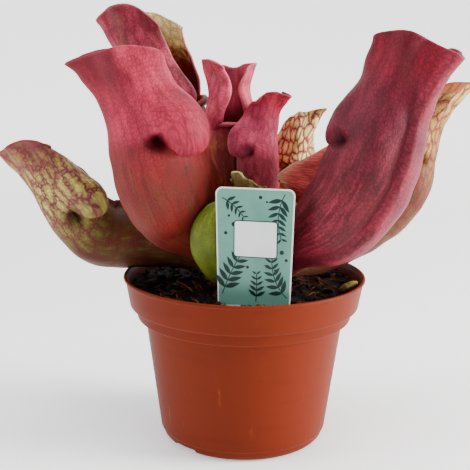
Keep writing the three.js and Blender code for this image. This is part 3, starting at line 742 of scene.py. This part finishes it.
def hood_up(leaf, w, h, angle, hang, fold):
    """How far the hood rises or falls: the top's outline and the hanging lobes."""
    _, drop, settle, _ = leaf["cheek"]
    aw = np.abs(w)
    fall = drop * np.sin(pi * fold) + settle * fold * (1 - ease(h, LOBE_END, SETTLE_FADE))
    return (table(leaf["top"], aw) * h ** 2.2 - hang * fall + leaf["lean"] * np.sin(angle) * h ** 2
            - leaf["round"] * beyond(aw, ROUND_FROM) * h ** 4 - leaf["turnover"] * beyond(h, TURN_FROM))


def hood_grid(leaf, seed):
    """Place up the hood and across it, angles, rings and points."""
    hood_cols, _, _, rows = density(leaf)
    corner, low, waist, high = (radians(v) for v in (leaf["corner"], *leaf["wrap"]))
    w = np.linspace(-1, 1, hood_cols + 1)
    h = np.linspace(0, 1, rows + 1)[1:, None] ** 1.4
    ring = rings(leaf, MOUTH + (TIP - MOUTH) * h[:, 0])
    fold = np.clip(h / LOBE_END, 0, 1)
    reach = (corner + (low - corner) * (1 - np.cos(pi * fold)) / 2 + (waist - low) * ease(h, *TO_WAIST)
             + (high - waist) * ease(h, *TO_TOP))
    angle = reach * w * (1 + leaf["slant"] * w * ease(h, *TO_SLANT))
    past = np.abs(angle) - corner
    hang = smooth((past + HANG_LEAD) / (reach - corner + HANG_LEAD))
    up, out = hood_up(leaf, w, h, angle, hang, fold), hood_out(leaf, w, h, past, seed)
    hood = ring_points(ring, angle) + ring[1][:, None] * up[..., None] + outward(ring, angle) * out[..., None]
    return h, w, angle, ring, hood


# %% [markdown]
# Beside each corner of the mouth the real leaf has a pit that lies in dark shade, where the lobe's edge meets the
# tube, and the large leaves carry a ridge up their back. Both are pushed into the points of the tube and of the hood
# alike, so that nothing shows at the seam between them. The pit's depth is kept for the finish, which darkens it
# with painted shade.

# %% Pits and keels
PIT_AT, PIT_BACK, PIT_FRONT, PIT_DOWN, PIT_UP = -0.1, 0.36, 0.2, 0.055, 0.09
KEEL_AT, KEEL_EDGE, KEEL_WIDE, KEEL_UP, KEEL_DOWN = -0.25, 0.12, 0.45, 0.6, 0.5


def dent(leaf, ring, points, turn, level, reach):
    """Moves points in at the pits and out at the keel, and says how much each is pit."""
    beside = np.abs(turn) - radians(leaf["corner"]) - PIT_AT
    wide = np.where(beside < 0, PIT_BACK, PIT_FRONT)
    hollow = np.exp(-((beside / wide) ** 2 + (level / reach) ** 2) ** 1.5)
    side = smooth((turn - KEEL_AT) / KEEL_EDGE + 0.5)
    ridge = (leaf["keel"] * (KEEL_UP * side - KEEL_DOWN * (1 - side)) * np.exp(-((turn - KEEL_AT) / KEEL_WIDE) ** 2)
             * ease(level, -0.9, 0.5))
    points += outward(ring, turn) * (ridge - leaf["pit"] * hollow)[..., None]
    return hollow


# %% [markdown]
# The lip. From each corner round to the wing the mouth's edge is rolled outwards into a smooth thin roll, which on
# the real leaf guides insects in. It is four more rows of points, turned out round a small circle.

# %% Lip
LIP_ROLL = (60, 120, 180, 240)  # how far round its circle each row lies, in degrees


def lip_rows(leaf, ring, tube, turn, picked):
    """The rolled rows over the picked columns of the tube's top."""
    corner = radians(leaf["corner"])
    roll = np.radians(LIP_ROLL)[:, None]
    a = turn[picked]
    size = leaf["lip"] * np.sin(np.clip((np.abs(a) - corner) / (pi - corner), 0, 1) * pi / 2) ** 0.9
    away = ring[2][-1] * np.cos(a)[:, None] + ring[3][-1] * np.sin(a)[:, None]
    return (tube[-1, picked] + away * (size * (1 - np.cos(roll)))[..., None]
            + ring[1][-1] * (size * np.sin(roll))[..., None])


# %% [markdown]
# A leaf is one sheet. The tube comes first, then the hood and the lips are sewn to its top row. Every point keeps
# what its finish needs: rise (1 at the mouth, 2 at the top), turn round the leaf, edge, hollow, and grain, which is
# the distance round and along the skin in millimetres, so that veins keep their size on every leaf.

# %% One sheet
class Sheet:
    """Grids of points sewn together, with values on the points."""

    def __init__(self):
        self.points, self.faces, self.kept, self.count = [], [], [], 0

    def add(self, grid, rise, turn, edge, hollow, across, along, onto=None):
        rows, cols = grid.shape[:2]
        ids = np.arange(rows * cols).reshape(rows, cols) + self.count
        sewn = ids if onto is None else np.vstack([onto, ids])
        self.faces += squares(sewn)
        self.points.append(grid.reshape(-1, 3))
        values = rise, turn, edge, hollow, across, along
        self.kept.append([np.broadcast_to(v, (rows, cols)).ravel() for v in values])
        self.count += rows * cols
        return ids

    def fields(self):
        *values, across, along = np.concatenate(self.kept, axis=1)
        grain = np.stack([across, along, np.zeros(len(along))], 1)
        return {**dict(zip(("rise", "turn", "edge", "hollow"), values)), "grain": grain}


def lengths(centres, start=0):
    """The distance along a row of points, as a column."""
    steps = np.linalg.norm(np.diff(centres, axis=0), axis=1)
    return start + np.concatenate([[0], np.cumsum(steps)])[:, None]


WAVE_LENGTH, TUBE_WAVES, HOOD_WAVES, TOP_WAVES = 10, 0.7, 0.7, 0.7  # millimetres
MARGIN_SHARP, LIP_RISE, LIP_EDGE = 22, 1.02, 0.8


def pitcher_sheet(leaf, seed):
    """The middle sheet of an open pitcher."""
    t, turn, ring, tube, ridge = tube_grid(leaf)
    h, w, angle, over, hood = hood_grid(leaf, seed)
    level = ((t - MOUTH) / (MOUTH - 1))[:, None]
    tube_hollow = dent(leaf, ring, tube, np.broadcast_to(turn, tube.shape[:2]), level, PIT_DOWN)
    hood_hollow = dent(leaf, over, hood, angle, h, PIT_UP)
    calm = ease(t, 1.2, 1.5)[:, None] * (1 - ridge)
    tube += grid_normals(tube) * (TUBE_WAVES * waves(tube, WAVE_LENGTH, seed) * calm)[..., None]
    hood += grid_normals(hood) * (waves(hood, WAVE_LENGTH, seed) * (HOOD_WAVES + TOP_WAVES * h))[..., None]

    hood_cols, front_cols, _, _ = density(leaf)
    girth = float(np.mean(ring[4][-20:] + ring[5][-20:]) / 2)  # the radius near the mouth
    along = lengths(ring[0])
    sheet, top = Sheet(), float(along[-1, 0])
    ids = sheet.add(tube, level + 1, turn / pi, 0, tube_hollow, turn * girth, along)
    margin = np.maximum(np.exp(-(1 - np.abs(w)) * MARGIN_SHARP), np.exp(-(1 - h) * MARGIN_SHARP))
    sheet.add(hood, 1 + h, w * radians(leaf["corner"]) / pi, margin, hood_hollow, angle * girth,
              lengths(over[0], top), onto=ids[-1, front_cols:front_cols + hood_cols + 1])
    for picked in (np.arange(hood_cols + front_cols, len(turn)), np.arange(0, front_cols + 1)):
        lip = lip_rows(leaf, ring, tube, turn, picked)
        sheet.add(lip, LIP_RISE, turn[picked] / pi, LIP_EDGE, 0, turn[picked] * girth, top, onto=ids[-1, picked])
    return sheet


# %% [markdown]
# A leaf's colour is a ground of blended tones with a net of darker veins over it. The veins are the edges of
# cells: wide cells stretched along the leaf give the long main veins, small ones give the net between. Slow noise
# bends both, for a grown look, and fine noise speckles the skin: partly the texture of its short hairs, partly
# painted glints of light on them.

# %% Leaf colours
# GROUNDS names the colours of a row: belly to crown follow each other up the leaf, spots and streaks lie over them.
# crest_highlight: a pale painted highlight along the wing's edge. flank: one side of the front. cell: the vein cells'
# width and length in millimetres. lines: how strongly the veins' halo, core and fine net show, and ribs how much more
# so low down. margin: how far the edge's tone covers. cap: 1 keeps the crown to the back. mottle: blotches higher up.
# lit: where the inside turns pale.
GROUNDS = "belly body hood crown spots streak wing edge vein inside deep".split()
USUAL_TONES = dict(ribs=-0.3, margin=0.6, cap=0, mottle=0, lift=1, lit=(0.7, 1.5))
TONES = {
    "pitcher_front_left": (
        "84441e 8c3a2c cc4c68 8c1030 7c5c34 6c1c22 c4745e b84c62 6a1430 7c1f30 40100f",
        dict(low_vein="8c3030", cell=(4.5, 16), lines=(0.14, 0.12, 0.3), margin=0.3, ribs=0.2, cap=1)),
    "pitcher_far_left": (
        "5a6420 645024 d4d47c b08858 848a3a 742420 6a2424 a8344c 864a54 8c3430 4a1c18",
        dict(low_vein="6a2c1e", cell=(4.2, 8), lines=(0.65, 0.1, 0.4), margin=0.8, ribs=-0.25, lift=1.08)),
    "pitcher_front_right": (
        "902c38 8c3444 8c384e 98183a 843a3c b04a64 ff8480 b04460 480c20 9c2c48 5a1020",
        # the wing's edge of this leaf carries a pale painted highlight
        dict(crest_highlight="f0c4a8", flank="b04c60", cell=(5, 18), lines=(0.12, 0.12, 0.32), margin=0.3, ribs=0)),
    "pitcher_back_right": (
        "545a2a 705e38 cca85c dcc078 847840 b04c4c a04040 b0705c 7c2834 d8a060 702020",
        dict(inside_vein="a83c40", cell=(3.2, 6.5), lines=(0.5, 0.3, 0.25))),
    "pitcher_back_left": (
        "9c4a48 a8445a cc6c84 c05468 946c40 c0707c a8505c d89c98 7a1c38 f4e0a8 983024",
        dict(inside_vein="64241a", lit=(1.4, 1.75), cell=(3.4, 7), lines=(0.35, 0.15, 0.3), margin=0.2, mottle=0.5)),
    "pitcher_back_centre": (
        "74341e 883430 d85c7e dc6482 b07048 6c2420 9c4840 d87c8c 701a30 b44c60 7c0812",
        dict(cell=(3.4, 7), lines=(0.3, 0.1, 0.2), mottle=0.5, lift=1.2)),
    "pitcher_centre": (
        "a05048 c85c6c e46c8c d0405c 8a3c3c b8505c b44c50 c46070 64102a 5c0c1c 30040c",
        dict(cell=(3, 7), lines=(0.2, 0.15, 0.15), margin=0.4)),
    "pitcher_right_centre": (
        "94502e c09a60 fff2b0 fff4b0 b4c048 9c4838 c08c5c a83c48 90344e b87858 6c2820",
        dict(cell=(2.6, 4.6), lines=(0.5, 0.45, 0.1), mottle=0.75, lift=1.3)),
    "small_pitcher_front": (
        "7c8430 9c9438 94903c b8b070 a88438 a87038 98983c dcd0a0 7c4c2c 6c7c30 3c4818",
        dict(cell=(2.6, 5), lines=(0.2, 0.3, 0.2))),
    "young_pitcher": (
        "64782a 7c8e30 94a43a 94a43a 9cac3c 7c8430 a0aa40 a8b444 6c6a28",
        dict(cell=(2.8, 4), lines=(0.25, 0.35, 0.2), margin=0)),
}
TONES = {name: {**USUAL_TONES, **dict(zip(GROUNDS, codes.split())), **more}
         for name, (codes, more) in TONES.items()}
print(len(TONES), "leaves with", len(GROUNDS), "colours each")

# %% [markdown]
# The recipe answers one question at a time: how much a point is vein, and what ground colour it has outside or
# inside. The last step lays the veins over the ground, and adds the speckle with its painted glints, painted shade
# in the pits and the coloured margin.

# %% Leaf finish
def vein_net(f, tones, where):
    """How much each point is vein, from 0 to 1."""
    def edges(across, length):
        return f.node("ShaderNodeTexVoronoi", {"feature": "DISTANCE_TO_EDGE", "voronoi_dimensions": "2D"},
                      Vector=where * (1 / across, 1 / length, 0), Scale=1, Randomness=0.85)
    strong, middle, slight = tones["lines"]
    across, length = tones["cell"]
    wide, fine = edges(across, length), edges(across / 3, across / 2.2)
    return ((1 - f.step(wide, 0, 0.5)) * strong + (1 - f.step(wide, 0, 0.22)) * middle
            + (1 - f.step(fine, 0, 0.35)) * slight)


def outer_skin(f, tones, rise, turn, grain, where):
    """The ground colour outside, and how low on the leaf each point is."""
    low = 1 - f.step(rise, 0.75, 1.15)
    patches = f.cloud(grain * (0.16, 0.1, 0), 1, 4)
    streaks = 1 - f.step(abs(f.cloud(where * (0.3, 0.02, 0), 1, 2) - 0.5), 0, 0.07)
    cap = 1 - f.step(abs(turn), 0.1, 0.34) * tones["cap"]
    ground = f.mix(tones["belly"], tones["body"], f.step(rise, 0.1, 0.6))
    ground = f.mix(ground, tones["hood"], f.step(rise + patches * 0.25, 0.85, 1.35))
    ground = f.mix(ground, tones["crown"], f.step(rise + patches * 0.15, 1.3, 2.1) * cap)
    if "flank" in tones:
        flank = f.step(turn, -0.1, -0.06) * (1 - f.step(turn, 0.3, 0.6))
        ground = f.mix(ground, tones["flank"], flank * 0.65)
    ground = f.mix(ground, tones["spots"], f.step(patches, 0.4, 0.72) * (low * 0.8 + tones["mottle"]))
    ground = f.mix(ground, tones["streak"], streaks * (low * 0.6 + 0.06))
    ground = ground * (1.12 - f.step(patches, 0.38, 0.64) * 0.27)
    ground = f.mix(ground, tones["wing"], f.step(abs(turn), 0.84, 0.99) * 0.85)
    # a pale line along the wing's very edge: a painted highlight where it catches the light
    return f.mix(ground, tones.get("crest_highlight", tones["wing"]), f.step(abs(turn), 0.985, 1) * 0.8), low


def inner_skin(f, tones, rise, grain):
    """The ground colour inside: deep and dark below, paler and blotched above."""
    blotch = f.cloud(grain * (0.3, 0.25, 0), 1, 3) * 0.6 - 0.3
    return f.mix(tones["deep"], tones["inside"], f.step(rise + blotch, *tones["lit"]))


def bent(f, grain, size, by):
    """A shift across and along the skin that wanders with slow noise."""
    swirl = f.cloud(grain * size, 1, 2, output="Color")
    return (swirl - (0.5, 0.5, 0.5)) * by


def leaf_finish(name, within=False):
    tones = TONES[name]
    f = Finish(name + (" inside" if within else " outside"), Specular_IOR_Level=0.2,
               Subsurface_Weight=0.06, Subsurface_Radius=(0.9, 0.35, 0.2), Subsurface_Scale=0.0015)
    rise, turn, edge, grain = f.field("rise"), f.field("turn"), f.field("edge"), f.field("grain", "Vector")
    where = (grain + bent(f, grain, (0.09, 0.05, 0), (5, 6, 0))
             + bent(f, grain, (0.5, 0.4, 0), (2.2, 2.2, 0)))
    vein = vein_net(f, tones, where)
    if within:
        ground, ink = inner_skin(f, tones, rise, grain), tones.get("inside_vein", tones["vein"])
        vein = vein * f.step(rise, 1, 1.8) * 0.8
    else:
        ground, low = outer_skin(f, tones, rise, turn, grain, where)
        ink = f.mix(tones["vein"], tones.get("low_vein", tones["vein"]), low)
        vein = vein * (1 + low * tones["ribs"])
    # fine speckle: the texture of the skin's hairs, and painted glints on them; it also roughens and bumps the skin
    shade, speckle_and_glint = f.cloud(grain * (0.07, 0.05, 0), 1, 3), f.cloud(grain, 1.5, 4, 0.7)
    ground = f.mix(ground * (f.step(shade, 0.3, 0.7) * 0.55 + 0.55), ink, vein)
    ground = ground * (speckle_and_glint * 1.6 + 0.24) * tones["lift"]
    # painted shade in the pits, darkest where each dent is deepest
    if not within:
        ground = ground * (1 - f.field("hollow") * 0.75)
    ground = f.mix(ground, tones["edge"], f.step(edge, 0.55, 0.95) * tones["margin"])
    return f.wear(Base_Color=ground, Roughness=0.45 + speckle_and_glint * 0.25,
                  Normal=f.bump(vein * -0.5 + speckle_and_glint * 0.5, 0.0004, 0.8))


# %% [markdown]
# Each open pitcher gets its wall from a modifier that thickens the sheet to both sides, as in the CAD part, and the
# inner side takes a finish of its own: the inside of the real cups is darker, with fewer veins.

# %% Open pitchers
WALL, THIN_WALL = 1.2, 1
for number, (name, leaf) in enumerate(LEAVES.items()):
    if leaf["closed"]:
        continue
    sheet = pitcher_sheet(leaf, number + 1)
    made = piece(name + "_leaf", np.vstack(sheet.points), sheet.faces, sheet.fields(),
                 [leaf_finish(name), leaf_finish(name, within=True)])
    wall = made.modifiers.new("wall", "SOLIDIFY")
    wall.thickness = (THIN_WALL if leaf["small"] else WALL) * MM
    wall.offset = 0
    wall.material_offset = 1
    dress(made, name)

# %% [markdown]
# The youngest leaf hasn't opened: it is a smooth closed sac with a pointed tip. It could share the tube and hood of
# the others, but plain closed rings are enough, with a cap at each end.

# %% The young leaf
YOUNG, ROWS, COLS, GIRTH, YOUNG_WAVES, WAVE_SIZE, SEED = "young_pitcher", 70, 48, 7, 0.35, 8, 4
t = np.linspace(START, TIP, ROWS)
ring = rings(LEAVES[YOUNG], t)
turn = np.linspace(-pi, pi, COLS + 1)[:-1]
points = ring_points(ring, np.broadcast_to(turn, (ROWS, COLS)))
points += grid_normals(points) * (YOUNG_WAVES * waves(points, WAVE_SIZE, SEED) * ease(t, 1.5, 2)[:, None])[..., None]
sheet = Sheet()
sheet.add(points, (t[:, None] - 1) / (TIP - 1), turn / pi, 0, 0, np.abs(turn) * GIRTH, lengths(ring[0]))
faces = grid_faces(ROWS, COLS, closed=True)
faces += [tuple(range(COLS))[::-1], tuple(range((ROWS - 1) * COLS, ROWS * COLS))]
made = piece(YOUNG + "_leaf", sheet.points[0], faces, sheet.fields(), [leaf_finish(YOUNG)])
dress(made, YOUNG)

# %% [markdown]
# The studio is a pale floor that bends up into a backdrop, one large soft light overhead, a key light from the right
# and a weaker fill from the left, as in the photo, where the pot is brightest on its right. The backdrop glows a
# little further back, which keeps it nearly white without a lamp of its own.

# %% Studio
f = Finish("studio white", Emission_Strength=1)
where = f.place()
tone, far = f.cloud(where, 3, 2), f.node("ShaderNodeSeparateXYZ", None, "Y", Vector=where)
glow = f.mix((0.45, 0.45, 0.45, 1), (1.6, 1.6, 1.6, 1), f.step(far, 0.15, 1.4))
ground = f.mix("f4f4f4", "fbfbfb", tone)
white = f.wear(Base_Color=ground, Roughness=0.8 + tone * 0.1, Emission_Color=glow)
FLOOR_FRONT, FLOOR_HALF = -30000, 12000
sweep = [(-3000, 0), (0, 0), (900, 0), (1600, 60), (2200, 300), (2600, 800), (2800, 1600), (2850, 3600)]
path = [(FLOOR_FRONT, 0), *spline(sweep, np.linspace(0, len(sweep) - 1, 80))]
points = [(x, y, z) for y, z in path for x in (-FLOOR_HALF, FLOOR_HALF)]
floor = piece("studio_floor", points, grid_faces(len(path), 2), None, [white])


AIM, SKY = (0, 0, 0.1), 0.2


def lamp(name, place, size, power, colour=(1, 1, 1)):
    """A round soft light that faces the plant: metres and watts."""
    data = bpy.data.lights.new(name, "AREA")
    data.shape, data.size, data.energy, data.color = "DISK", size, power, colour
    made = placed(name, data)
    made.location = place
    made.rotation_euler = (Vector(AIM) - Vector(place)).to_track_quat("-Z", "Y").to_euler()


lamp("overhead", (0.05, -0.15, 1.1), 0.8, 13)
lamp("right", (1.05, -0.15, 0.4), 0.5, 33, (1, 0.98, 0.95))
lamp("left", (-1, -0.3, 0.5), 0.5, 8, (0.97, 0.98, 1))
world = bpy.data.worlds.new("studio")
world.use_nodes = True
sky = next(n for n in world.node_tree.nodes if n.type == "BACKGROUND")
sky.inputs["Color"].default_value = (1, 1, 1, 1)
sky.inputs["Strength"].default_value = SKY
bpy.context.scene.world = world
print(len(bpy.data.lights), "lamps")

# %% [markdown]
# The camera stands where the photo's did: half a metre away, looking down by twelve degrees. Its place, angles and
# lens were worked out from the pot's rim and foot and the label's edges, so the two pictures can be laid together.

# %% Camera
EYE = Vector((0, -483.4, 205.6)) * MM
PITCH, YAW, ROLL = (radians(v) for v in (12.05, -0.58, 0.58))
LENS, SENSOR = 76.6, 36
ahead = Vector((sin(YAW) * cos(PITCH), cos(YAW) * cos(PITCH), -sin(PITCH)))
level = Vector((cos(YAW), -sin(YAW), 0))
upright = level.cross(ahead)
right = level * cos(ROLL) + upright * sin(ROLL)
up = upright * cos(ROLL) - level * sin(ROLL)
data = bpy.data.cameras.new("camera")
data.lens, data.sensor_width = LENS, SENSOR
camera = placed("camera", data)
camera.matrix_world = Matrix([(right[n], up[n], -ahead[n], EYE[n]) for n in range(3)] + [(0, 0, 0, 1)])
bpy.context.scene.camera = camera
print("camera at", tuple(round(v, 4) for v in EYE))
